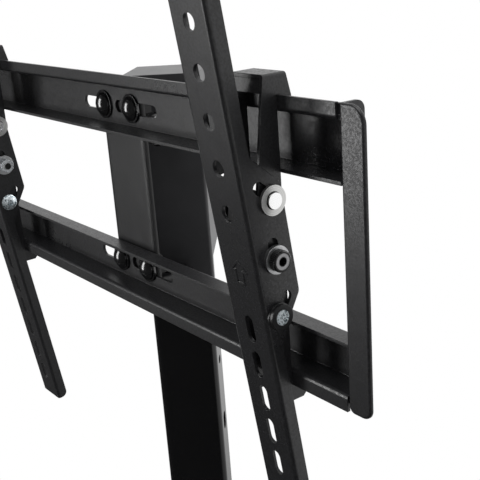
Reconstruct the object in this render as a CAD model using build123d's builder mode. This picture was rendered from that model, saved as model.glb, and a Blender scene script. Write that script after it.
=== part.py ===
from build123d import *
from math import atan2, cos, degrees, hypot, radians, sin
import os

os.makedirs("parts", exist_ok=True)

# Shared frame: Z up from the floor, origin on the upright swivel axis,
# rails along X, screen side towards -Y. The stand below the head is turned
# by swivel_turn, which is where the photographed head has been swivelled to.
swivel_turn = 45.0
tilt_z = 1095.0        # tilt axis above the floor; head, bracket and column follow it
sheet = 2.0            # folded sheet of rails, end plates, arms and hooks
plate = 3.0            # heavier plate of the head plate and swivel bracket
bolt_play = 0.2        # radial clearance of bolts in fixed holes
pivot_play = 0.05      # radial running clearance of pivots

# Rails
rail_length = 469.6
rail_back = -28.5
rail_depth = 18.0
rail_bend = 1.5        # bend radius on the middle of the sheet
top_rail_low = tilt_z + 44.9
top_rail_height = 33.5
top_lip = 6.7
top_lip_relief = 2.5   # the lips stop this far short of the rail's ends
bottom_rail_low = tilt_z - 70.1
bottom_rail_height = 28.5
bottom_flange = 13.0   # the bottom rail's upper flange is narrower than the rail is deep
bottom_flange_corner = 3.0
bottom_lip = 7.6
bottom_lip_relief = 1.0
web_relief = 3.5       # the rails' webs stop this far short of the rails' ends
slot_height = 8.5
slot_spans = ((-48.8, -12.5), (-5.1, 47.8))
top_slot_z = top_rail_low + 14.7
bottom_slot_z = bottom_rail_low + 15.2
top_rail_high = top_rail_low + top_rail_height
bottom_rail_high = bottom_rail_low + bottom_rail_height
rail_front = rail_back - rail_depth
bottom_flange_front = rail_back - bottom_flange
rail_top = top_rail_high + top_lip
rail_bottom = bottom_rail_low - bottom_lip

# End plates
end_flange = 15.9
end_web_depth = 15.0
end_top_corner = 9.5
end_low_corner = 6.4
end_inner_corner = 4.0
end_rear_corner = 5.0
end_low = rail_bottom + 0.3
end_tab = 7.0          # tabs behind the rails' lips, which are spot-welded to them
end_tab_gap = 0.6      # keeps the tabs clear of the rails' bends

# Head plate and its bolts to the rails
head_width = 54.0
head_shift = -1.5      # the head plate and its bolts sit a little left of the swivel axis
head_low = tilt_z - 85.0
head_high = tilt_z + 73.0
head_edge = 2.4
rail_bolt_x = 18.0
rail_bolt_r = 4.0
rail_bolt_head_r = 8.2
rail_bolt_head = 4.6
rail_washer_r = 9.9
rail_washer = 1.5
rail_nut_flat = 13.0
rail_nut = 6.5

# Swivel
lug_r = 12.0
lug = 4.0
thrust_washer = 1.0
thrust_washer_r = 11.0
lug_low = tilt_z - 77.0
lug_high = tilt_z + 37.0
swivel_bolt_r = 5.0
swivel_head_r = 9.0
swivel_head = 5.0
swivel_nut_flat = 17.0
swivel_nut = 8.0
lug_levels = (lug_low, lug_high)

# Column, bracket and base, measured along the turned axes
column_width = 48.4
column_depth = 29.0
column_wall = 2.0
column_corner = 5.2
column_front = 15.9
cable_hole_z = tilt_z - 158.0
cable_hole_r = 3.4
cable_slot_z = tilt_z - 213.5
cable_slot_long = 15.0
cable_slot_wide = 9.0
bracket_low = tilt_z - 81.0
bracket_top = tilt_z + 75.4
bracket_depth = 53.2
bracket_gap = 1.0
bracket_slant_front = bracket_low + 16.0
bracket_slant_rear = bracket_low + 31.0
bracket_bolt_low = tilt_z + 5.0
bracket_bolt_high = tilt_z + 29.0
bracket_bolt_r = 3.0
base_width = 560.0
base_depth = 400.0
base_plate_thick = 6.0
base_corner = 30.0
mat_thick = 2.0
mat_inset = 4.0
foot_width = 120.0
foot_depth = 96.0
foot_thick = 6.0
collar_height = 45.0
collar_wall = 3.0
collar_gap = 0.2
foot_bolt_r = 4.0
foot_bolt_inset = 14.0
column_mid = column_front + column_depth / 2
base_top = mat_thick + base_plate_thick
foot_top = base_top + foot_thick
column_top = bracket_top - plate
bracket_bolt_levels = (bracket_bolt_low, bracket_bolt_high)

# Tilting arms: n is measured back from the tilt axis, s up the arm
arm_x = 176.3
arm_width = 31.4
arm_tilt = 8.16
tilt_travel = 13.0
tilt_y = -93.4
arm_face = 24.1
arm_top = 209.0
arm_foot = -231.0
flange_top_depth = 9.2
flange_low_depth = 8.7
arm_bend = 2.4
hole_pitch = 25.0
first_hole = 22.6
hole_count = 8
hole_r = 4.6
slot_pitch = 22.7
first_slot = -46.6
slot_count = 8
slot_long = 17.0
slot_wide = 6.8
arrow_tip = -3.6
arrow_size = 15.0
arrow_line = 1.3
arrow_raise = 0.4

# Hook brackets and the three bolts that guide the tilt
hook_play = 0.3
hook_side_play = 0.2
hook_top = tilt_z + 96.2
hook_drop = 9.4        # how far the cap's front is folded down
hook_belly = -64.8
guide_radius = 38.0
guide_rise = 32.4
guide_bolt_r = 3.0
guide_slot = 6.8
pin_flange_r = 8.2
pin_flange = 1.8
pin_boss_r = 4.4
pin_boss = 1.4
tilt_washer_r = 7.9
tilt_washer = 2.4
tilt_head_r = 6.0
tilt_head = 4.0
tilt_nut_length = 6.0
ring_nut_r = 7.7
ring_nut_foot = 1.4
ring_nut = 3.6
bolt_end_r = 4.3
bolt_end = 2.4
guide_y = tilt_y + guide_radius
hook_width = arm_width - 2 * sheet - 2 * hook_side_play

stand = Plane(origin=(0, 0, 0), x_dir=(cos(radians(swivel_turn)), sin(radians(swivel_turn)), 0), z_dir=(0, 0, 1))
stand_side = Plane(
    origin=(0, 0, 0),
    x_dir=(-sin(radians(swivel_turn)), cos(radians(swivel_turn)), 0),
    z_dir=(cos(radians(swivel_turn)), sin(radians(swivel_turn)), 0),
)


def save(builder, name):
    builder.part.label = name
    export_step(builder.part, "parts/" + name + ".step")


def dome(on, radius, height):
    """Adds a round head with a low rim and a crown of one arc, standing on the plane."""
    rim = height * 0.2
    rise = height - rim
    crown = (radius ** 2 + rise ** 2) / (2 * rise)
    with BuildSketch(Plane(origin=on.origin, x_dir=on.x_dir, z_dir=-on.y_dir)) as half:
        with BuildLine():
            Polyline((0, height), (0, 0), (radius, 0), (radius, rim))
            RadiusArc((radius, rim), (0, height), -crown)
        make_face()
    revolve(half.sketch, axis=Axis(on.origin, on.z_dir))


def button(on, radius, height):
    """Adds a domed screw head with a hexagon socket, standing on the plane."""
    dome(on, radius, height)
    with BuildSketch(on.offset(height)) as socket:
        RegularPolygon(radius * 0.36, 6, major_radius=False)
    extrude(socket.sketch, amount=-height * 0.6, mode=Mode.SUBTRACT)


def rod(on, radius, length, at=0.0):
    with BuildSketch(on.offset(at)) as disc:
        Circle(radius)
    extrude(disc.sketch, amount=length)


def nut(on, flats, length, bore, at=0.0):
    with BuildSketch(on.offset(at)) as outline:
        RegularPolygon(flats / 2, 6, major_radius=False)
        Circle(bore, mode=Mode.SUBTRACT)
    extrude(outline.sketch, amount=length)


def ring(on, outer, inner, length, at=0.0):
    with BuildSketch(on.offset(at)) as outline:
        Circle(outer)
        Circle(inner, mode=Mode.SUBTRACT)
    extrude(outline.sketch, amount=length)


# Base: non-slip mat, steel plate, column foot
with BuildPart() as base_mat:
    with BuildSketch(stand):
        RectangleRounded(base_width - 2 * mat_inset, base_depth - 2 * mat_inset, base_corner - mat_inset)
    extrude(amount=mat_thick)
save(base_mat, "base_mat")

foot_bolt_x = foot_width / 2 - foot_bolt_inset
foot_bolt_y = foot_depth / 2 - foot_bolt_inset
foot_bolt_places = [
    (x, column_mid + y) for x in (-foot_bolt_x, foot_bolt_x) for y in (-foot_bolt_y, foot_bolt_y)
]

with BuildPart() as base_plate:
    with BuildSketch(stand.offset(mat_thick)):
        RectangleRounded(base_width, base_depth, base_corner)
        with Locations(*foot_bolt_places):
            Circle(foot_bolt_r + bolt_play, mode=Mode.SUBTRACT)
    extrude(amount=base_plate_thick)
    chamfer(base_plate.faces().sort_by(Axis.Z)[-1].outer_wire().edges(), length=1.2)
save(base_plate, "base_plate")

collar_inner_x = column_width + 2 * collar_gap
collar_inner_y = column_depth + 2 * collar_gap
with BuildPart() as column_foot:
    with BuildSketch(stand.offset(base_top)):
        with Locations((0, column_mid)):
            RectangleRounded(foot_width, foot_depth, 8)
        with Locations(*foot_bolt_places):
            Circle(foot_bolt_r + bolt_play, mode=Mode.SUBTRACT)
    extrude(amount=foot_thick)
    with BuildSketch(stand.offset(foot_top)):
        with Locations((0, column_mid)):
            RectangleRounded(
                collar_inner_x + 2 * collar_wall, collar_inner_y + 2 * collar_wall, column_corner + collar_wall
            )
            RectangleRounded(collar_inner_x, collar_inner_y, column_corner + collar_gap, mode=Mode.SUBTRACT)
    extrude(amount=collar_height)
save(column_foot, "column_foot")

with BuildPart() as foot_bolts:
    for x, y in foot_bolt_places:
        seat = Plane(origin=stand.from_local_coords((x, y, foot_top)), z_dir=(0, 0, 1))
        button(seat, 7.0, 4.4)
        rod(seat, foot_bolt_r, -(foot_thick + base_plate_thick - 0.5))
save(foot_bolts, "foot_bolts")

# Column tube, bolted inside the swivel bracket
with BuildPart() as column_tube:
    with BuildSketch(stand.offset(foot_top)):
        with Locations((0, column_mid)):
            RectangleRounded(column_width, column_depth, column_corner)
            RectangleRounded(
                column_width - 2 * column_wall,
                column_depth - 2 * column_wall,
                column_corner - column_wall,
                mode=Mode.SUBTRACT,
            )
    extrude(amount=column_top - foot_top)
    with BuildSketch(stand_side.offset(-column_width)):
        for level in bracket_bolt_levels:
            with Locations((column_mid, level)):
                Circle(bracket_bolt_r + bolt_play)
    extrude(amount=2 * column_width, mode=Mode.SUBTRACT)
    with BuildSketch(stand_side):
        with Locations((column_mid, cable_hole_z)):
            Circle(cable_hole_r)
        with Locations((column_mid, cable_slot_z)):
            SlotOverall(cable_slot_long, cable_slot_wide, rotation=90)
    extrude(amount=column_width, mode=Mode.SUBTRACT)
save(column_tube, "column_tube")

bracket_front = column_front - plate
bracket_rear = bracket_front + bracket_depth
bracket_half = column_width / 2 + bracket_gap + plate
with BuildPart() as swivel_bracket:
    with BuildSketch(stand.offset(bracket_low)):
        with Locations((0, (bracket_front + bracket_rear) / 2)):
            Rectangle(2 * bracket_half, bracket_depth)
    extrude(amount=bracket_top - bracket_low)
    upright = swivel_bracket.edges().filter_by(Axis.Z)
    front_edges = upright.group_by(Axis(origin=(0, 0, 0), direction=stand_side.x_dir))[0]
    fillet(front_edges, radius=2.5)
    with BuildSketch(stand.offset(bracket_low)):
        with Locations((0, (column_front + bracket_rear) / 2 + 1)):
            Rectangle(2 * bracket_half - 2 * plate, bracket_rear - column_front + 2)
    extrude(amount=column_top - bracket_low, mode=Mode.SUBTRACT)
    with BuildSketch(stand_side.offset(-bracket_half - 1)):
        with BuildLine():
            Polyline(
                (column_front, bracket_low - 1),
                (column_front, bracket_slant_front),
                (bracket_rear + 1, bracket_slant_rear),
                (bracket_rear + 1, bracket_low - 1),
                close=True,
            )
        make_face()
        for level in bracket_bolt_levels:
            with Locations((column_mid, level)):
                Circle(bracket_bolt_r + bolt_play)
    extrude(amount=2 * bracket_half + 2, mode=Mode.SUBTRACT)
    for level in lug_levels:
        with BuildSketch(stand.offset(level)):
            Circle(lug_r)
            with Locations((0, bracket_front / 2)):
                Rectangle(2 * lug_r, bracket_front)
            Circle(swivel_bolt_r + pivot_play, mode=Mode.SUBTRACT)
        extrude(amount=lug)
save(swivel_bracket, "swivel_bracket")

with BuildPart() as bracket_bolts:
    for level in bracket_bolt_levels:
        seat = Plane(
            origin=stand.from_local_coords((bracket_half, column_mid, level)), z_dir=stand_side.z_dir
        )
        button(seat, 6.0, 3.6)
        rod(seat, bracket_bolt_r, -(2 * bracket_half + 7))
save(bracket_bolts, "bracket_bolts")

with BuildPart() as bracket_nuts:
    for level in bracket_bolt_levels:
        seat = Plane(
            origin=stand.from_local_coords((-bracket_half, column_mid, level)), z_dir=-stand_side.z_dir
        )
        nut(seat, 10.0, 5.0, bracket_bolt_r + pivot_play)
save(bracket_nuts, "bracket_nuts")

# Swivel bolts with thrust washers and nuts, one set per lug
with BuildPart() as swivel_bolts:
    for level in lug_levels:
        seat = Plane.XY.offset(level + 2 * lug + thrust_washer)
        button(seat, swivel_head_r, swivel_head)
        rod(seat, swivel_bolt_r, -(2 * lug + thrust_washer + swivel_nut + 2))
save(swivel_bolts, "swivel_bolts")

with BuildPart() as swivel_washers:
    for level in lug_levels:
        ring(Plane.XY, thrust_washer_r, swivel_bolt_r + pivot_play, thrust_washer, level + lug)
save(swivel_washers, "swivel_washers")

with BuildPart() as swivel_nuts:
    for level in lug_levels:
        nut(Plane.XY, swivel_nut_flat, swivel_nut, swivel_bolt_r + pivot_play, level - swivel_nut)
save(swivel_nuts, "swivel_nuts")

# Head plate with two ears that turn on the swivel bolts
rail_bolt_places = [
    (head_shift + x, z) for x in (-rail_bolt_x, rail_bolt_x) for z in (top_slot_z, bottom_slot_z)
]
head_back = rail_back + plate
with BuildPart() as head_plate:
    with BuildSketch(Plane.XZ.offset(-head_back)):
        with Locations((head_shift, (head_low + head_high) / 2)):
            RectangleRounded(head_width, head_high - head_low, 4)
        with Locations(*rail_bolt_places):
            Circle(rail_bolt_r + bolt_play, mode=Mode.SUBTRACT)
    extrude(amount=plate)
    fillet(head_plate.faces().sort_by(Axis.Y)[0].outer_wire().edges(), radius=head_edge)
    for level in lug_levels:
        with BuildSketch(Plane.XY.offset(level + lug + thrust_washer)):
            Circle(lug_r)
            with Locations((0, head_back / 2)):
                Rectangle(2 * lug_r, -head_back)
            Circle(swivel_bolt_r + pivot_play, mode=Mode.SUBTRACT)
        extrude(amount=lug)
save(head_plate, "head_plate")


def rail(points, slot_z, lip_low, lip_high, relief):
    """Adds a folded strip along X, cuts its two slots and shortens its front lip and web."""
    with BuildSketch(Plane.YZ.offset(-rail_length / 2)) as section:
        with BuildLine():
            FilletPolyline(*points, radius=rail_bend)
        trace(line_width=sheet)
    extrude(section.sketch, amount=rail_length)
    with BuildSketch(Plane.XZ.offset(-rail_back - 1)) as slots:
        for left, right in slot_spans:
            with Locations(((left + right) / 2, slot_z)):
                SlotOverall(right - left, slot_height)
    extrude(slots.sketch, amount=sheet + 2, mode=Mode.SUBTRACT)
    with BuildSketch(Plane.XZ.offset(-rail_front - sheet)) as ends:
        with Locations(*[(side * (rail_length - relief) / 2, (lip_low + lip_high) / 2) for side in (-1, 1)]):
            Rectangle(relief, lip_high - lip_low)
    extrude(ends.sketch, amount=sheet, mode=Mode.SUBTRACT)
    with BuildSketch(Plane.XZ.offset(-rail_back - 1)) as corners:
        with Locations(*[(side * (rail_length - web_relief) / 2, slot_z) for side in (-1, 1)]):
            Rectangle(web_relief, 2 * top_rail_height)
    extrude(corners.sketch, amount=sheet + rail_bend + 1, mode=Mode.SUBTRACT)


half = sheet / 2
front_line = rail_front + half
back_line = rail_back - half
with BuildPart() as top_rail:
    rail(
        [
            (front_line, rail_top),
            (front_line, top_rail_high - half),
            (back_line, top_rail_high - half),
            (back_line, top_rail_low + half),
            (rail_front, top_rail_low + half),
        ],
        top_slot_z,
        top_rail_high - sheet,
        rail_top,
        top_lip_relief,
    )
save(top_rail, "top_rail")

with BuildPart() as bottom_rail:
    rail(
        [
            (front_line, rail_bottom),
            (front_line, bottom_rail_low + half),
            (back_line, bottom_rail_low + half),
            (back_line, bottom_rail_high - half),
            (bottom_flange_front, bottom_rail_high - half),
        ],
        bottom_slot_z,
        rail_bottom,
        bottom_rail_low + sheet,
        bottom_lip_relief,
    )
    corners = bottom_rail.edges().filter_by(Axis.Z).filter_by(lambda e: abs(e.length - sheet) < 0.01)
    fillet(corners.group_by(Axis.Z)[-1].group_by(Axis.Y)[0], radius=bottom_flange_corner)
save(bottom_rail, "bottom_rail")

tab_spans = (
    (end_low + end_inner_corner, bottom_rail_low - end_tab_gap),
    (top_rail_high + end_tab_gap, rail_top - end_tab_gap),
)
for side, tag in ((-1, "left"), (1, "right")):
    rail_end = side * rail_length / 2
    with BuildPart() as end_plate:
        with BuildSketch(Plane.XZ.offset(-rail_front)):
            with Locations((rail_end + side * end_flange / 2, (rail_top + end_low) / 2)):
                Rectangle(end_flange, rail_top - end_low)
        extrude(amount=-sheet)
        low, high = end_plate.edges().filter_by(Axis.Y).group_by(Axis.Z)
        fillet(high.sort_by(Axis.X)[-1 if side > 0 else 0], radius=end_top_corner)
        fillet(low.sort_by(Axis.X)[-1 if side > 0 else 0], radius=end_low_corner)
        fillet(end_plate.edges().filter_by(Axis.Y).group_by(Axis.Z)[0], radius=end_inner_corner)
        web_low = end_low + end_inner_corner
        with BuildSketch(Plane.YZ.offset(rail_end)):
            with Locations((rail_front + end_web_depth / 2, (rail_top + web_low) / 2)):
                Rectangle(end_web_depth, rail_top - web_low)
        extrude(amount=side * sheet)
        rear = end_plate.edges().filter_by(Axis.X).group_by(Axis.Y)[-1]
        fillet(rear, radius=end_rear_corner)
        bend = end_plate.edges().filter_by(Axis.Z).group_by(Axis.Y)[0].sort_by(Axis.X)
        fillet(bend[0] if side > 0 else bend[-1], radius=1.5)
        with BuildSketch(Plane.XZ.offset(-rail_front - sheet)) as tabs:
            for low, high in tab_spans:
                with Locations((rail_end - side * end_tab / 2, (low + high) / 2)):
                    Rectangle(end_tab, high - low)
        extrude(tabs.sketch, amount=-sheet)
    save(end_plate, "end_plate_" + tag)

# Bolts, washers and nuts that join rails and head plate
web_front = rail_back - sheet
with BuildPart() as rail_washers:
    for x, z in rail_bolt_places:
        ring(Plane(origin=(x, web_front, z), z_dir=(0, -1, 0)), rail_washer_r, rail_bolt_r + bolt_play, rail_washer)
save(rail_washers, "rail_washers")

with BuildPart() as rail_bolts:
    for x, z in rail_bolt_places:
        seat = Plane(origin=(x, web_front - rail_washer, z), z_dir=(0, -1, 0))
        dome(seat, rail_bolt_head_r, rail_bolt_head)
        rod(seat, rail_bolt_r, -(rail_washer + sheet + plate + rail_nut + 1.5))
save(rail_bolts, "rail_bolts")

with BuildPart() as rail_nuts:
    for x, z in rail_bolt_places:
        nut(Plane(origin=(x, head_back, z), z_dir=(0, 1, 0)), rail_nut_flat, rail_nut, rail_bolt_r + pivot_play)
save(rail_nuts, "rail_nuts")

# Arms, built square to the tilted arm plane
lean = radians(arm_tilt)
back_dir = (0, cos(lean), sin(lean))
ear = [
    (arm_face, arm_foot),
    (arm_face, arm_top),
    (arm_face + flange_top_depth, arm_top),
    (arm_face + flange_top_depth, 52.5),
    (arm_face + 25.7, 34.0),
    (arm_face + 25.7, -29.5),
    (arm_face + 16.6, -41.5),
    (arm_face + flange_low_depth, -57.0),
    (arm_face + flange_low_depth, arm_foot),
]
guide_points = ((guide_radius, guide_rise), (guide_radius, 0.0), (guide_radius, -guide_rise))
arrow = [
    (0, arrow_tip),
    (arrow_size / 2, arrow_tip - arrow_size / 2),
    (arrow_size / 4, arrow_tip - arrow_size / 2),
    (arrow_size / 4, arrow_tip - arrow_size),
    (-arrow_size / 4, arrow_tip - arrow_size),
    (-arrow_size / 4, arrow_tip - arrow_size / 2),
    (-arrow_size / 2, arrow_tip - arrow_size / 2),
]
for side, tag in ((-1, "left"), (1, "right")):
    middle = side * arm_x
    flank = Plane(origin=(middle - arm_width / 2, tilt_y, tilt_z), x_dir=back_dir, z_dir=(1, 0, 0))
    face = Plane(origin=(middle, tilt_y, tilt_z), x_dir=(1, 0, 0), z_dir=(0, -cos(lean), -sin(lean)))
    face = face.offset(-arm_face)
    with BuildPart() as arm:
        with BuildSketch(flank):
            with BuildLine():
                Polyline(*ear, close=True)
            make_face()
        extrude(amount=arm_width)
        across = arm.edges().filter_by(Axis.X)
        soft = across.filter_by(lambda e: -60 < flank.to_local_coords(e.center()).Y < 60)
        fillet(soft, radius=5)
        ends = arm.edges().filter_by(Axis.X).filter_by(lambda e: flank.to_local_coords(e.center()).X > arm_face + 1)
        ends = ends.filter_by(lambda e: abs(flank.to_local_coords(e.center()).Y) > 200)
        fillet(ends, radius=5)
        long_edges = arm.edges().filter_by(lambda e: e.length > arm_top - arm_foot - 1)
        fillet(long_edges, radius=arm_bend)
        with BuildSketch(flank.offset(sheet)):
            with Locations((arm_face + sheet + 30, (arm_top + arm_foot) / 2)):
                Rectangle(60, arm_top - arm_foot + 2)
        extrude(amount=arm_width - 2 * sheet, mode=Mode.SUBTRACT)
        with BuildSketch(face):
            for i in range(hole_count):
                with Locations((0, first_hole + i * hole_pitch)):
                    Circle(hole_r)
            for i in range(slot_count):
                with Locations((0, first_slot - i * slot_pitch)):
                    SlotOverall(slot_long, slot_wide, rotation=90)
        extrude(amount=-sheet - 1, mode=Mode.SUBTRACT)
        with BuildSketch(flank.offset(-1)):
            for n, s in guide_points:
                start = degrees(atan2(s, n)) - arm_tilt
                SlotArc(Edge.make_circle(hypot(n, s), start_angle=start, end_angle=start + tilt_travel), guide_slot)
        extrude(amount=arm_width + 2, mode=Mode.SUBTRACT)
        with BuildSketch(face):
            with BuildLine():
                Polyline(*arrow, close=True)
            make_face()
            offset(amount=-arrow_line, kind=Kind.INTERSECTION, mode=Mode.SUBTRACT)
        extrude(amount=arrow_raise)
    save(arm, "arm_" + tag)

# Hook brackets: two side plates under a cap, hung on the top rail's lip
tongue_front = rail_front + sheet + hook_play
hook_outline = [
    (guide_y + 0.5, hook_top),
    (-39.9, hook_top),
    (-36.8, rail_top - 1.1),
    (-36.8, top_rail_high + 1),
    (tongue_front, top_rail_high + 1),
    (tongue_front, rail_top),
    (rail_front, rail_top),
    (rail_front, rail_bottom - hook_play),
    (-36.6, rail_bottom - hook_play),
    (-36.6, rail_bottom - 8),
    (-38.6, rail_bottom - 10),
    (-52.9, rail_bottom - 10),
    (hook_belly, tilt_z - 5),
    (hook_belly, tilt_z + 17),
]
for side, tag in ((-1, "left"), (1, "right")):
    middle = side * arm_x
    near = Plane.YZ.offset(middle - hook_width / 2)
    with BuildPart() as hook:
        with BuildSketch(near):
            with BuildLine():
                Polyline(*hook_outline, close=True)
            make_face()
        extrude(amount=hook_width)
        cap = hook.edges().filter_by(Axis.Y).group_by(Axis.Z)[-1]
        fillet(cap, radius=1.5)
        with BuildSketch(near.offset(sheet)):
            with Locations((tilt_y / 2, (hook_top - sheet + head_low - 20) / 2)):
                Rectangle(-tilt_y, hook_top - sheet - head_low + 20)
        extrude(amount=hook_width - 2 * sheet, mode=Mode.SUBTRACT)
        with BuildSketch(near.offset(sheet)):
            with BuildLine():
                Polyline(
                    (guide_y + 0.5, hook_top - sheet),
                    (guide_y - 0.6, hook_top - hook_drop),
                    (guide_y + 1.4, hook_top - hook_drop),
                    (guide_y + 2.5, hook_top - sheet),
                    close=True,
                )
            make_face()
        extrude(amount=hook_width - 2 * sheet)
        with BuildSketch(near.offset(-1)):
            for n, s in guide_points:
                with Locations((tilt_y + n, tilt_z + s)):
                    Circle(guide_bolt_r + pivot_play)
        extrude(amount=hook_width + 2, mode=Mode.SUBTRACT)
    save(hook, "hook_" + tag)

# Guide bolts, seen from the arm's outer and inner flanks
for side, tag in ((-1, "left"), (1, "right")):
    outer_x = side * (arm_x + arm_width / 2)
    inner_x = side * (arm_x - arm_width / 2)
    outward = (side, 0, 0)
    inward = (-side, 0, 0)
    upper = (guide_y, tilt_z + guide_rise)
    centre = (guide_y, tilt_z)
    lower = (guide_y, tilt_z - guide_rise)

    with BuildPart() as upper_pin:
        rod(Plane(origin=(inner_x, *upper), z_dir=outward), guide_bolt_r, arm_width)
        for x, way in ((outer_x, outward), (inner_x, inward)):
            seat = Plane(origin=(x, *upper), z_dir=way)
            rod(seat, pin_flange_r, pin_flange)
            rod(seat, pin_boss_r, pin_boss, pin_flange)
    save(upper_pin, "upper_pin_" + tag)

    with BuildPart() as tilt_washers:
        for x, way in ((outer_x, outward), (inner_x, inward)):
            ring(Plane(origin=(x, *centre), z_dir=way), tilt_washer_r, guide_bolt_r + pivot_play, tilt_washer)
    save(tilt_washers, "tilt_washers_" + tag)

    with BuildPart() as tilt_screw:
        seat = Plane(origin=(outer_x + side * tilt_washer, *centre), z_dir=outward)
        rod(seat, guide_bolt_r, -(arm_width + 2 * tilt_washer + tilt_nut_length + 1))
        rod(seat, tilt_head_r, tilt_head)
        chamfer(tilt_screw.faces().sort_by(Axis.X)[-1 if side > 0 else 0].outer_wire().edges(), length=0.6)
        with BuildSketch(seat.offset(tilt_head)):
            RegularPolygon(2.2, 6, major_radius=False)
        extrude(amount=-2.8, mode=Mode.SUBTRACT)
    save(tilt_screw, "tilt_screw_" + tag)

    with BuildPart() as tilt_nut:
        seat = Plane(origin=(inner_x - side * tilt_washer, *centre), z_dir=inward)
        nut(seat, 10.0, tilt_nut_length, guide_bolt_r + pivot_play)
    save(tilt_nut, "tilt_nut_" + tag)

    with BuildPart() as lower_bolt:
        seat = Plane(origin=(inner_x, *lower), z_dir=inward)
        button(seat, 6.5, 3.6)
        rod(seat, guide_bolt_r, -(arm_width + ring_nut_foot))
        rod(seat, bolt_end_r, -bolt_end, -(arm_width + ring_nut_foot))
    save(lower_bolt, "lower_bolt_" + tag)

    with BuildPart() as lower_nut:
        seat = Plane(origin=(outer_x, *lower), z_dir=outward)
        ring(seat, ring_nut_r, guide_bolt_r + pivot_play, ring_nut_foot)
        ring(seat, ring_nut_r - 0.4, bolt_end_r + bolt_play, ring_nut - ring_nut_foot, ring_nut_foot)
    save(lower_nut, "lower_nut_" + tag)
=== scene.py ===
from math import cos, radians, sin

import bpy
from mathutils import Matrix, Vector


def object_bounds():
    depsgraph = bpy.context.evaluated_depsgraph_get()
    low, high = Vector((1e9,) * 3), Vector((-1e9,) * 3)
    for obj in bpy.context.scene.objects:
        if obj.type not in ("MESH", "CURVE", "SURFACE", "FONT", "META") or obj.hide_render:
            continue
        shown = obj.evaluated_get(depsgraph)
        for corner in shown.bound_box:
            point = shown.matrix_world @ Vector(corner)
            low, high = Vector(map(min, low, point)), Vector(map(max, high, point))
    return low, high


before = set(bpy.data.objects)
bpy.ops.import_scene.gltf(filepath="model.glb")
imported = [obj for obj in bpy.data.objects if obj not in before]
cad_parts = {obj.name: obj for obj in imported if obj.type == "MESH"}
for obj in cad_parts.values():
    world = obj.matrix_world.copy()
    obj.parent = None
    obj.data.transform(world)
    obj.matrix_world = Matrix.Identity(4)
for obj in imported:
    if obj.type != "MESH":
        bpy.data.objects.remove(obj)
cad_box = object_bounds()


# Base plate, mat and column foot. The plate and the foot are steel and powder
# coated black; four bolts hold the foot, whose collar carries the column. The
# mat is a thin sheet of rubber glued under the plate.


def linear(code):
    """An sRGB hex colour such as #2b2b2d as a linear RGBA tuple."""
    parts = [int(code[i:i + 2], 16) / 255 for i in (1, 3, 5)]
    return tuple(
        c / 12.92 if c <= 0.04045 else ((c + 0.055) / 1.055) ** 2.4 for c in parts) + (1.0,)


def add_node(tree, kind, settings=None, links=None):
    """Adds one node: settings are its own properties, links the values or sockets of its inputs."""
    made = tree.nodes.new(kind)
    for key, value in (settings or {}).items():
        setattr(made, key, value)
    for key, value in (links or {}).items():
        if isinstance(value, bpy.types.NodeSocket):
            tree.links.new(value, made.inputs[key])
        else:
            made.inputs[key].default_value = value
    return made


def start_finish(name):
    """An empty material with its node tree and the piece's own coordinates, in metres."""
    finish = bpy.data.materials.new(name)
    finish.use_nodes = True
    finish.node_tree.nodes.clear()
    place = add_node(finish.node_tree, "ShaderNodeTexCoord").outputs["Object"]
    return finish, finish.node_tree, place


def paint_nodes(finish, *names):
    """Puts one finish on whole CAD nodes."""
    for name in names:
        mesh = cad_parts[name].data
        mesh.materials.clear()
        mesh.materials.append(finish)


colour_a, colour_b, mixed = 6, 7, 2    # sockets of a Mix node that is set to colours
noise_low, noise_high = 0.3, 0.7       # nearly all of a noise's values lie between these

# Powder coat: black polyester baked on steel. It gives the eye a satin skin
# whose fine grit glints in the highlights, a slow change of gloss, and a soft
# bright line where it rounds over each edge.
coat_grit_mm = 1.3    # drawn coarser than the real grit, or it would not show
coat_peel_mm = 9.0
coat_drift_mm = 120.0
coat_edge_mm = 0.5
grit_rise_mm = 0.05
peel_rise_mm = 1.0
grit_glint = 0.14     # how much glossier the pale grit is than the dark

powder_coat, tree, place = start_finish("black_powder_coat")
grit = add_node(tree, "ShaderNodeTexNoise", links={
    "Vector": place, "Scale": 1000 / coat_grit_mm, "Detail": 1.0, "Roughness": 0.5})
peel = add_node(tree, "ShaderNodeTexNoise", links={
    "Vector": place, "Scale": 1000 / coat_peel_mm, "Detail": 2.0, "Roughness": 0.5})
drift = add_node(tree, "ShaderNodeTexNoise", links={
    "Vector": place, "Scale": 1000 / coat_drift_mm, "Detail": 2.0, "Roughness": 0.5})
specks = add_node(tree, "ShaderNodeMapRange", links={
    "Value": grit.outputs["Fac"], "From Min": 0.35, "From Max": 0.65})
tone = add_node(tree, "ShaderNodeMix", {"data_type": "RGBA"}, {
    "Factor": specks.outputs["Result"], colour_a: linear("#141415"), colour_b: linear("#232325")})
gloss = add_node(tree, "ShaderNodeMapRange", links={
    "Value": drift.outputs["Fac"], "From Min": noise_low, "From Max": noise_high,
    "To Min": 0.4, "To Max": 0.46})
gloss = add_node(tree, "ShaderNodeMath", {"operation": "MULTIPLY_ADD"}, {
    0: specks.outputs["Result"], 1: -grit_glint, 2: gloss.outputs["Result"]})
edge = add_node(tree, "ShaderNodeBevel", {"samples": 6}, {"Radius": coat_edge_mm / 1000})
waves = add_node(tree, "ShaderNodeBump", links={
    "Strength": 0.08, "Distance": peel_rise_mm / 1000, "Height": peel.outputs["Fac"],
    "Normal": edge.outputs["Normal"]})
skin = add_node(tree, "ShaderNodeBump", links={
    "Strength": 0.2, "Distance": grit_rise_mm / 1000, "Height": specks.outputs["Result"],
    "Normal": waves.outputs["Normal"]})
coat = add_node(tree, "ShaderNodeBsdfPrincipled", links={
    "Base Color": tone.outputs[mixed], "Roughness": gloss.outputs["Value"], "IOR": 1.5,
    "Normal": skin.outputs["Normal"]})
add_node(tree, "ShaderNodeOutputMaterial", links={"Surface": coat.outputs["BSDF"]})

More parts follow.
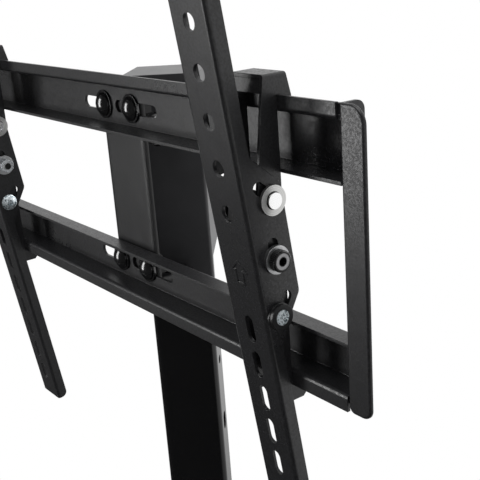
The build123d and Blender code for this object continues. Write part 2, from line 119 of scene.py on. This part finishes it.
# Rubber sheet, calendered: matt black with a dry, slightly dusty grain.
rubber_grain_mm = 1.5
rubber_rise_mm = 0.3

rubber, tree, place = start_finish("black_rubber_sheet")
grain = add_node(tree, "ShaderNodeTexNoise", links={
    "Vector": place, "Scale": 1000 / rubber_grain_mm, "Detail": 3.0, "Roughness": 0.6})
tone = add_node(tree, "ShaderNodeMix", {"data_type": "RGBA"}, {
    "Factor": grain.outputs["Fac"], colour_a: linear("#1a1a1a"), colour_b: linear("#2f2f2e")})
skin = add_node(tree, "ShaderNodeBump", links={
    "Strength": 0.4, "Distance": rubber_rise_mm / 1000, "Height": grain.outputs["Fac"]})
sheet = add_node(tree, "ShaderNodeBsdfPrincipled", links={
    "Base Color": tone.outputs[mixed], "Roughness": 0.85, "IOR": 1.52,
    "Normal": skin.outputs["Normal"]})
add_node(tree, "ShaderNodeOutputMaterial", links={"Surface": sheet.outputs["BSDF"]})

paint_nodes(powder_coat, "base_plate", "column_foot")
paint_nodes(rubber, "base_mat")


# Bolts of the foot, bracket, swivel and rails, with the swivel nuts and the
# rail washers. Pressed steel, blackened in a hot oxide bath, which leaves a
# thin oily skin with small sharp highlights. The rail bolts are plain domes.
oxide_stain_mm = 4.0
oxide_edge_mm = 0.35

black_oxide, tree, place = start_finish("black_oxide_steel")
stain = add_node(tree, "ShaderNodeTexNoise", links={
    "Vector": place, "Scale": 1000 / oxide_stain_mm, "Detail": 3.0, "Roughness": 0.6})
tone = add_node(tree, "ShaderNodeMix", {"data_type": "RGBA"}, {
    "Factor": stain.outputs["Fac"], colour_a: linear("#0a0a0b"), colour_b: linear("#1a1a1b")})
gloss = add_node(tree, "ShaderNodeMapRange", links={
    "Value": stain.outputs["Fac"], "From Min": noise_low, "From Max": noise_high,
    "To Min": 0.1, "To Max": 0.2})
edge = add_node(tree, "ShaderNodeBevel", {"samples": 6}, {"Radius": oxide_edge_mm / 1000})
metal = add_node(tree, "ShaderNodeBsdfPrincipled", links={
    "Base Color": tone.outputs[mixed], "Roughness": gloss.outputs["Result"], "IOR": 1.8,
    "Normal": edge.outputs["Normal"]})
add_node(tree, "ShaderNodeOutputMaterial", links={"Surface": metal.outputs["BSDF"]})

paint_nodes(
    black_oxide, "foot_bolts", "bracket_bolts", "swivel_bolts", "swivel_nuts", "rail_bolts",
    "rail_washers")


# Bracket nuts and tilt nuts. They are plain steel nuts with a bright zinc
# plating, which gives the eye a cool silver with small stains.
zinc_stain_mm = 3.0
zinc_edge_mm = 0.3

zinc_plate, tree, place = start_finish("bright_zinc_plating")
stain = add_node(tree, "ShaderNodeTexNoise", links={
    "Vector": place, "Scale": 1000 / zinc_stain_mm, "Detail": 4.0, "Roughness": 0.6})
tone = add_node(tree, "ShaderNodeMix", {"data_type": "RGBA"}, {
    "Factor": stain.outputs["Fac"], colour_a: linear("#b9bdc1"), colour_b: linear("#e2e5e8")})
gloss = add_node(tree, "ShaderNodeMapRange", links={
    "Value": stain.outputs["Fac"], "From Min": noise_low, "From Max": noise_high,
    "To Min": 0.22, "To Max": 0.36})
edge = add_node(tree, "ShaderNodeBevel", {"samples": 6}, {"Radius": zinc_edge_mm / 1000})
metal = add_node(tree, "ShaderNodeBsdfPrincipled", links={
    "Base Color": tone.outputs[mixed], "Roughness": gloss.outputs["Result"], "Metallic": 1.0,
    "Normal": edge.outputs["Normal"]})
add_node(tree, "ShaderNodeOutputMaterial", links={"Surface": metal.outputs["BSDF"]})

paint_nodes(zinc_plate, "bracket_nuts", "tilt_nut_left", "tilt_nut_right")


# Column. A drawn rectangular steel tube, wet painted in gloss black, so that
# its flat face is an almost plain dark mirror with a faint long ripple.
paint_ripple_mm = 60.0
ripple_rise_mm = 1.0

gloss_paint, tree, place = start_finish("black_gloss_paint")
ripple = add_node(tree, "ShaderNodeTexNoise", links={
    "Vector": place, "Scale": 1000 / paint_ripple_mm, "Detail": 1.0, "Roughness": 0.4})
tone = add_node(tree, "ShaderNodeMix", {"data_type": "RGBA"}, {
    "Factor": ripple.outputs["Fac"], colour_a: linear("#0b0b0c"), colour_b: linear("#111112")})
waves = add_node(tree, "ShaderNodeBump", links={
    "Strength": 0.05, "Distance": ripple_rise_mm / 1000, "Height": ripple.outputs["Fac"]})
lacquer = add_node(tree, "ShaderNodeBsdfPrincipled", links={
    "Base Color": tone.outputs[mixed], "Roughness": 0.18, "IOR": 1.45,
    "Normal": waves.outputs["Normal"]})
add_node(tree, "ShaderNodeOutputMaterial", links={"Surface": lacquer.outputs["BSDF"]})

paint_nodes(gloss_paint, "column_tube")


# Swivel bracket, head plate and swivel washers. Both plates are folded from
# steel and coated without grit. The bracket is bolted to the column, and the
# head plate turns on its two lugs, on thin washers of black nylon.
coat_cloud_mm = 14.0
cloud_rise_mm = 1.0


def smooth_coat(name, dark, light, edge_mm):
    """A smooth satin coat: soft clouds of tone and gloss, and rounded folds and edges."""
    finish, tree, place = start_finish(name)
    cloud = add_node(tree, "ShaderNodeTexNoise", links={
        "Vector": place, "Scale": 1000 / coat_cloud_mm, "Detail": 4.0, "Roughness": 0.6})
    tone = add_node(tree, "ShaderNodeMix", {"data_type": "RGBA"}, {
        "Factor": cloud.outputs["Fac"], colour_a: linear(dark), colour_b: linear(light)})
    gloss = add_node(tree, "ShaderNodeMapRange", links={
        "Value": cloud.outputs["Fac"], "From Min": noise_low, "From Max": noise_high,
        "To Min": 0.33, "To Max": 0.38})
    edge = add_node(tree, "ShaderNodeBevel", {"samples": 6}, {"Radius": edge_mm / 1000})
    waves = add_node(tree, "ShaderNodeBump", links={
        "Strength": 0.15, "Distance": cloud_rise_mm / 1000, "Height": cloud.outputs["Fac"],
        "Normal": edge.outputs["Normal"]})
    coat = add_node(tree, "ShaderNodeBsdfPrincipled", links={
        "Base Color": tone.outputs[mixed], "Roughness": gloss.outputs["Result"], "IOR": 1.5,
        "Normal": waves.outputs["Normal"]})
    add_node(tree, "ShaderNodeOutputMaterial", links={"Surface": coat.outputs["BSDF"]})
    return finish


# The bracket's coat is paler. The head plate's runs thick over its folds, so
# that they show as broad soft bands.
satin_coat = smooth_coat("smooth_satin_coat", "#303032", "#3b3b3d", edge_mm=0.8)
black_coat = smooth_coat("smooth_black_coat", "#0a0a0b", "#1e1e20", edge_mm=6.0)

# Nylon, moulded: dull black with a faint paler bloom.
nylon_bloom_mm = 5.0

nylon, tree, place = start_finish("black_nylon")
bloom = add_node(tree, "ShaderNodeTexNoise", links={
    "Vector": place, "Scale": 1000 / nylon_bloom_mm, "Detail": 2.0, "Roughness": 0.5})
tone = add_node(tree, "ShaderNodeMix", {"data_type": "RGBA"}, {
    "Factor": bloom.outputs["Fac"], colour_a: linear("#141414"), colour_b: linear("#242424")})
ring = add_node(tree, "ShaderNodeBsdfPrincipled", links={
    "Base Color": tone.outputs[mixed], "Roughness": 0.5, "IOR": 1.53})
add_node(tree, "ShaderNodeOutputMaterial", links={"Surface": ring.outputs["BSDF"]})

paint_nodes(satin_coat, "swivel_bracket")
paint_nodes(black_coat, "head_plate")
paint_nodes(nylon, "swivel_washers")


# Rails, end plates and rail nuts. The rails are folded steel channels with
# lips, screwed to the head plate; the end plates close them. All are powder
# coated, and the nuts behind are phosphated, a dry matt black with a bloom.
phosphate_bloom_mm = 2.0

phosphate, tree, place = start_finish("black_phosphate_steel")
bloom = add_node(tree, "ShaderNodeTexNoise", links={
    "Vector": place, "Scale": 1000 / phosphate_bloom_mm, "Detail": 3.0, "Roughness": 0.6})
tone = add_node(tree, "ShaderNodeMix", {"data_type": "RGBA"}, {
    "Factor": bloom.outputs["Fac"], colour_a: linear("#0c0c0c"), colour_b: linear("#1c1c1c")})
metal = add_node(tree, "ShaderNodeBsdfPrincipled", links={
    "Base Color": tone.outputs[mixed], "Roughness": 0.6, "IOR": 1.45})
add_node(tree, "ShaderNodeOutputMaterial", links={"Surface": metal.outputs["BSDF"]})

paint_nodes(powder_coat, "top_rail", "bottom_rail", "end_plate_left", "end_plate_right")
paint_nodes(phosphate, "rail_nuts")


# Hook brackets with their ring nuts. A bracket is two side plates under one
# folded cap, powder coated and hung on the top rail's lip. The ring nut below
# is black chromated steel, smooth, with a soft pale line round its rim.
ring_edge_mm = 0.4

black_ring, tree, place = start_finish("black_chromate_steel")
stain = add_node(tree, "ShaderNodeTexNoise", links={
    "Vector": place, "Scale": 1000 / oxide_stain_mm, "Detail": 3.0, "Roughness": 0.6})
tone = add_node(tree, "ShaderNodeMix", {"data_type": "RGBA"}, {
    "Factor": stain.outputs["Fac"], colour_a: linear("#121213"), colour_b: linear("#222223")})
edge = add_node(tree, "ShaderNodeBevel", {"samples": 6}, {"Radius": ring_edge_mm / 1000})
metal = add_node(tree, "ShaderNodeBsdfPrincipled", links={
    "Base Color": tone.outputs[mixed], "Roughness": 0.35, "Metallic": 0.2,
    "Normal": edge.outputs["Normal"]})
add_node(tree, "ShaderNodeOutputMaterial", links={"Surface": metal.outputs["BSDF"]})

paint_nodes(powder_coat, "hook_left", "hook_right")
paint_nodes(black_ring, "lower_nut_left", "lower_nut_right")


# Upper guide pins. Each is turned from steel with a thin flange at both ends, zinc
# plated, with a small boss that stands proud. The boss is coloured near white, a painted
# highlight, with a dark ring of painted shade round it; the flange is grey with turned rings.
guide_y = -0.0554    # the pins' and bolts' axes run along X at this depth and these heights
pin_z = 1.1274
pin_boss_mm = 4.4
pin_blur_mm = 0.1
boss_shade_ring_mm = 0.5
pin_ring_mm = 0.5
cone_start_mm = 0.3
flange_slope = 0.12


def from_axis(tree, place, height):
    """Distance from a guide bolt's axis in metres, and the angle round it."""
    spoke = add_node(tree, "ShaderNodeVectorMath", {"operation": "MULTIPLY_ADD"}, {
        0: place, 1: (0.0, 1.0, 1.0), 2: (0.0, -guide_y, -height)}).outputs["Vector"]
    out = add_node(tree, "ShaderNodeVectorMath", {"operation": "LENGTH"}, {0: spoke})
    legs = add_node(tree, "ShaderNodeSeparateXYZ", links={"Vector": spoke})
    turn = add_node(tree, "ShaderNodeMath", {"operation": "ARCTAN2"}, {
        0: legs.outputs["Z"], 1: legs.outputs["Y"]})
    return out.outputs["Value"], turn.outputs["Value"]


turned_zinc, tree, place = start_finish("turned_zinc_steel")
radius, _ = from_axis(tree, place, pin_z)
boss = add_node(tree, "ShaderNodeMapRange", links={
    "Value": radius, "From Min": (pin_boss_mm - pin_blur_mm) / 1000,
    "From Max": (pin_boss_mm + pin_blur_mm) / 1000, "To Min": 1.0, "To Max": 0.0})
rings = add_node(tree, "ShaderNodeTexNoise", {"noise_dimensions": "1D"}, {
    "W": radius, "Scale": 1000 / pin_ring_mm, "Detail": 2.0, "Roughness": 0.5})
tone = add_node(tree, "ShaderNodeMix", {"data_type": "RGBA"}, {
    "Factor": rings.outputs["Fac"], colour_a: linear("#b6b6b5"), colour_b: linear("#dededc")})
# Painted highlight: the boss is coloured near white.
tone = add_node(tree, "ShaderNodeMix", {"data_type": "RGBA"}, {
    "Factor": boss.outputs["Result"], colour_a: tone.outputs[mixed], colour_b: linear("#fafafa")})
# Painted shade: a dark ring round the boss's edge.
boss_shade_ring = add_node(tree, "ShaderNodeMath", {"operation": "COMPARE"}, {
    0: radius, 1: (pin_boss_mm + boss_shade_ring_mm / 2) / 1000, 2: boss_shade_ring_mm / 2 / 1000})
tone = add_node(tree, "ShaderNodeMix", {"data_type": "RGBA"}, {
    "Factor": boss_shade_ring.outputs["Value"], colour_a: tone.outputs[mixed], colour_b: linear("#3a3a3a")})
gloss = add_node(tree, "ShaderNodeMapRange", links={
    "Value": boss.outputs["Result"], "To Min": 0.32, "To Max": 0.14})
slope = add_node(tree, "ShaderNodeMath", {"operation": "MAXIMUM"}, {
    0: radius, 1: (pin_boss_mm + cone_start_mm) / 1000})
cone = add_node(tree, "ShaderNodeBump", links={
    "Strength": 1.0, "Distance": -flange_slope, "Height": slope.outputs["Value"]})
metal = add_node(tree, "ShaderNodeBsdfPrincipled", links={
    "Base Color": tone.outputs[mixed], "Roughness": gloss.outputs["Result"], "Metallic": 1.0,
    "Normal": cone.outputs["Normal"]})
add_node(tree, "ShaderNodeOutputMaterial", links={"Surface": metal.outputs["BSDF"]})

paint_nodes(turned_zinc, "upper_pin_left", "upper_pin_right")


# Tilt screws and their washers. The screw is a blackened steel socket screw,
# with a head that is knurled round its rim; the washers under it are pressed
# steel. Together they clamp the arm at its angle.
tilt_z = 1.095
knurl_count = 36.0
knurl_depth_mm = 0.3
rim_from_mm, rim_to_mm = 5.75, 5.9
chamfer_glow_from_mm, chamfer_glow_full_mm = 2.4, 3.0
chamfer_glow_fades_mm, chamfer_glow_to_mm = 4.1, 4.8

# Black oxide on knurled steel: a black rim with fine glints, and a grey ring round
# the socket, a painted highlight on its chamfer.
knurled_oxide, tree, place = start_finish("knurled_black_oxide_steel")
radius, turn = from_axis(tree, place, tilt_z)
rim = add_node(tree, "ShaderNodeMapRange", links={
    "Value": radius, "From Min": rim_from_mm / 1000, "From Max": rim_to_mm / 1000,
    "To Min": 0.0, "To Max": 1.0})
teeth = add_node(tree, "ShaderNodeMath", {"operation": "MULTIPLY"}, {0: turn, 1: knurl_count})
teeth = add_node(tree, "ShaderNodeMath", {"operation": "SINE"}, {0: teeth.outputs["Value"]})
teeth = add_node(tree, "ShaderNodeMath", {"operation": "MULTIPLY"}, {
    0: teeth.outputs["Value"], 1: rim.outputs["Result"]})
knurl = add_node(tree, "ShaderNodeBump", links={
    "Strength": 1.0, "Distance": knurl_depth_mm / 1000, "Height": teeth.outputs["Value"]})
# Painted highlight: a pale grey ring round the socket.
inner = add_node(tree, "ShaderNodeMapRange", {"interpolation_type": "SMOOTHSTEP"}, {
    "Value": radius, "From Min": chamfer_glow_from_mm / 1000, "From Max": chamfer_glow_full_mm / 1000})
outer = add_node(tree, "ShaderNodeMapRange", {"interpolation_type": "SMOOTHSTEP"}, {
    "Value": radius, "From Min": chamfer_glow_fades_mm / 1000, "From Max": chamfer_glow_to_mm / 1000,
    "To Min": 1.0, "To Max": 0.0})
chamfer_highlight = add_node(tree, "ShaderNodeMath", {"operation": "MULTIPLY"}, {
    0: inner.outputs["Result"], 1: outer.outputs["Result"]})
tone = add_node(tree, "ShaderNodeMix", {"data_type": "RGBA"}, {
    "Factor": chamfer_highlight.outputs["Value"], colour_a: linear("#050506"), colour_b: linear("#a6a6a8")})
metal = add_node(tree, "ShaderNodeBsdfPrincipled", links={
    "Base Color": tone.outputs[mixed], "Roughness": 0.24, "IOR": 1.38,
    "Normal": knurl.outputs["Normal"]})
add_node(tree, "ShaderNodeOutputMaterial", links={"Surface": metal.outputs["BSDF"]})

# Zinc plating gone dull: a soft grey silver with a fine grain.
washer_grain_mm = 1.2

dull_zinc, tree, place = start_finish("dull_zinc_plating")
grain = add_node(tree, "ShaderNodeTexNoise", links={
    "Vector": place, "Scale": 1000 / washer_grain_mm, "Detail": 3.0, "Roughness": 0.6})
tone = add_node(tree, "ShaderNodeMix", {"data_type": "RGBA"}, {
    "Factor": grain.outputs["Fac"], colour_a: linear("#97989a"), colour_b: linear("#d6d7d8")})
edge = add_node(tree, "ShaderNodeBevel", {"samples": 6}, {"Radius": zinc_edge_mm / 1000})
metal = add_node(tree, "ShaderNodeBsdfPrincipled", links={
    "Base Color": tone.outputs[mixed], "Roughness": 0.35, "Metallic": 1.0,
    "Normal": edge.outputs["Normal"]})
add_node(tree, "ShaderNodeOutputMaterial", links={"Surface": metal.outputs["BSDF"]})

paint_nodes(knurled_oxide, "tilt_screw_left", "tilt_screw_right")
paint_nodes(dull_zinc, "tilt_washers_left", "tilt_washers_right")


# Lower guide bolts. Cold-headed zinc plated steel; the shank's end shows in
# the ring nut, pale and bluish, with the dents and cut marks of its making.
dent_mm = 2.4
dent_depth_mm = 0.2

struck_zinc, tree, place = start_finish("struck_zinc_steel")
dents = add_node(tree, "ShaderNodeTexNoise", links={
    "Vector": place, "Scale": 1000 / dent_mm, "Detail": 2.0, "Roughness": 0.5, "Distortion": 1.5})
marks = add_node(tree, "ShaderNodeMapRange", {"interpolation_type": "SMOOTHSTEP"}, {
    "Value": dents.outputs["Fac"], "From Min": 0.36, "From Max": 0.54})
tone = add_node(tree, "ShaderNodeMix", {"data_type": "RGBA"}, {
    "Factor": marks.outputs["Result"], colour_a: linear("#56666d"), colour_b: linear("#f2fbff")})
skin = add_node(tree, "ShaderNodeBump", links={
    "Strength": 0.2, "Distance": dent_depth_mm / 1000, "Height": marks.outputs["Result"]})
metal = add_node(tree, "ShaderNodeBsdfPrincipled", links={
    "Base Color": tone.outputs[mixed], "Roughness": 0.45, "Metallic": 0.85,
    "Normal": skin.outputs["Normal"]})
add_node(tree, "ShaderNodeOutputMaterial", links={"Surface": metal.outputs["BSDF"]})

paint_nodes(struck_zinc, "lower_bolt_left", "lower_bolt_right")


# Tilting arms. Each is a folded channel with a row of round holes and slots
# for the screen's screws, punched before it is powder coated.
paint_nodes(powder_coat, "arm_left", "arm_right")


# Floor. A plain pale studio floor that keeps the stand's shadow near the base
# and goes over into plain white further out. Gloss mirrors it white behind the
# stand and darker in front and close by, as the photograph's studio is.
floor_span = 9.0
shade_near, shade_far = 0.7, 1.2
front_y, back_y = -0.3, 0.5
close_by, far_off = 0.5, 2.5
front_glow, close_glow = 0.05, 0.35

bpy.ops.mesh.primitive_circle_add(
    vertices=96, radius=floor_span, fill_type="NGON", location=(0, 0, cad_box[0][2]))
floor = bpy.context.object
floor.name = "studio_floor"
pale, tree, place = start_finish("pale_studio_floor")
away = add_node(tree, "ShaderNodeVectorMath", {"operation": "LENGTH"}, {0: place})
sides = add_node(tree, "ShaderNodeSeparateXYZ", links={"Vector": place})
path = add_node(tree, "ShaderNodeLightPath")

reach = add_node(tree, "ShaderNodeMapRange", {"interpolation_type": "SMOOTHSTEP"}, {
    "Value": away.outputs["Value"], "From Min": shade_near, "From Max": shade_far})
white = add_node(tree, "ShaderNodeMath", {"operation": "MULTIPLY"}, {
    0: path.outputs["Is Camera Ray"], 1: reach.outputs["Result"]})
matt = add_node(tree, "ShaderNodeBsdfDiffuse", links={"Color": linear("#e9e9e8")})
glow = add_node(tree, "ShaderNodeEmission", links={"Color": linear("#ffffff"), "Strength": 1.0})
seen = add_node(tree, "ShaderNodeMixShader", links={
    0: white.outputs["Value"], 1: matt.outputs["BSDF"], 2: glow.outputs["Emission"]})

behind = add_node(tree, "ShaderNodeMapRange", {"interpolation_type": "SMOOTHSTEP"}, {
    "Value": sides.outputs["Y"], "From Min": front_y, "From Max": back_y,
    "To Min": front_glow, "To Max": 1.0})
# Painted shade: close to the stand the floor glows dimmer in gloss, for the stand's shadow on it.
stand_shade_in_gloss = add_node(tree, "ShaderNodeMapRange", {"interpolation_type": "SMOOTHSTEP"}, {
    "Value": away.outputs["Value"], "From Min": close_by, "From Max": far_off,
    "To Min": close_glow, "To Max": 1.0})
level = add_node(tree, "ShaderNodeMath", {"operation": "MULTIPLY"}, {
    0: behind.outputs["Result"], 1: stand_shade_in_gloss.outputs["Result"]})
room = add_node(tree, "ShaderNodeEmission", links={
    "Color": linear("#ffffff"), "Strength": level.outputs["Value"]})
mirrored = add_node(tree, "ShaderNodeMath", {"operation": "ADD", "use_clamp": True}, {
    0: path.outputs["Is Glossy Ray"], 1: path.outputs["Is Transmission Ray"]})
blend = add_node(tree, "ShaderNodeMixShader", links={
    0: mirrored.outputs["Value"], 1: seen.outputs["Shader"], 2: room.outputs["Emission"]})
add_node(tree, "ShaderNodeOutputMaterial", links={"Surface": blend.outputs["Shader"]})
floor.data.materials.append(pale)


# Studio light. A soft white dome that gloss mirrors dark in front of the stand,
# a tall narrow key box at the left front, a weak box that fills from the right,
# and two more that light the stand from above and from behind.
dome_light = 0.45
dome_front_y, dome_back_y = -0.15, 0.2

world = bpy.data.worlds.new("studio_world")
bpy.context.scene.world = world
world.use_nodes = True
tree = world.node_tree
tree.nodes.clear()
path = add_node(tree, "ShaderNodeLightPath")
mirrored = add_node(tree, "ShaderNodeMath", {"operation": "ADD", "use_clamp": True}, {
    0: path.outputs["Is Glossy Ray"], 1: path.outputs["Is Transmission Ray"]})
toward = add_node(tree, "ShaderNodeTexCoord").outputs["Generated"]
sides = add_node(tree, "ShaderNodeSeparateXYZ", links={"Vector": toward})
backdrop = add_node(tree, "ShaderNodeMapRange", {"interpolation_type": "SMOOTHSTEP"}, {
    "Value": sides.outputs["Y"], "From Min": dome_front_y, "From Max": dome_back_y,
    "To Min": front_glow, "To Max": 1.0})
soft = add_node(tree, "ShaderNodeBackground", links={
    "Color": linear("#ffffff"), "Strength": dome_light})
studio = add_node(tree, "ShaderNodeBackground", links={
    "Color": linear("#ffffff"), "Strength": backdrop.outputs["Result"]})
bright = add_node(tree, "ShaderNodeBackground", links={
    "Color": linear("#ffffff"), "Strength": 1.0})
blend = add_node(tree, "ShaderNodeMixShader", links={
    0: mirrored.outputs["Value"], 1: soft.outputs["Background"], 2: studio.outputs["Background"]})
blend = add_node(tree, "ShaderNodeMixShader", links={
    0: path.outputs["Is Camera Ray"], 1: blend.outputs["Shader"], 2: bright.outputs["Background"]})
add_node(tree, "ShaderNodeOutputWorld", links={"Surface": blend.outputs["Shader"]})

look_at = Vector((0.1, 0.0, 1.1))
for name, place, wide, high, watts in (
        ("key_box", (-1.58, -2.1, 1.3), 0.8, 1.9, 36.0),
        ("fill_box", (2.1, -0.8, 1.2), 1.2, 1.2, 4.0),
        ("top_box", (0.3, -0.4, 3.0), 1.6, 1.6, 22.0),
        ("back_box", (0.2, 2.6, 2.2), 1.8, 1.8, 25.0)):
    lamp = bpy.data.lights.new(name, "AREA")
    lamp.shape = "RECTANGLE"
    lamp.size = wide
    lamp.size_y = high
    lamp.energy = watts
    box = bpy.data.objects.new(name, lamp)
    box.location = place
    box.rotation_euler = (look_at - Vector(place)).to_track_quat("-Z", "Y").to_euler()
    bpy.context.collection.objects.link(box)


# Camera, at the photograph's viewing angle and distance. It was fitted to the
# edges of the rails, and leans a little as the photograph does.
eye = Vector((0.5342, -0.3304, 1.25))
azimuth, elevation, roll = radians(53.53), radians(18.06), radians(-4.11)
lens_mm, sensor_mm = 66.225, 36.0
nearest = 0.01

ahead = Vector((
    -sin(azimuth) * cos(elevation), cos(azimuth) * cos(elevation), -sin(elevation)))
level = Vector((cos(azimuth), sin(azimuth), 0.0))
upright = level.cross(ahead)
right = cos(roll) * level + sin(roll) * upright
up = cos(roll) * upright - sin(roll) * level
lens = bpy.data.cameras.new("photo_camera")
lens.lens = lens_mm
lens.sensor_width = sensor_mm
lens.clip_start = nearest
camera = bpy.data.objects.new("photo_camera", lens)
turned = Matrix((right, up, -ahead)).transposed().to_4x4()
camera.matrix_world = Matrix.Translation(eye) @ turned
bpy.context.collection.objects.link(camera)
bpy.context.scene.camera = camera
bpy.context.scene.view_settings.view_transform = "Standard"
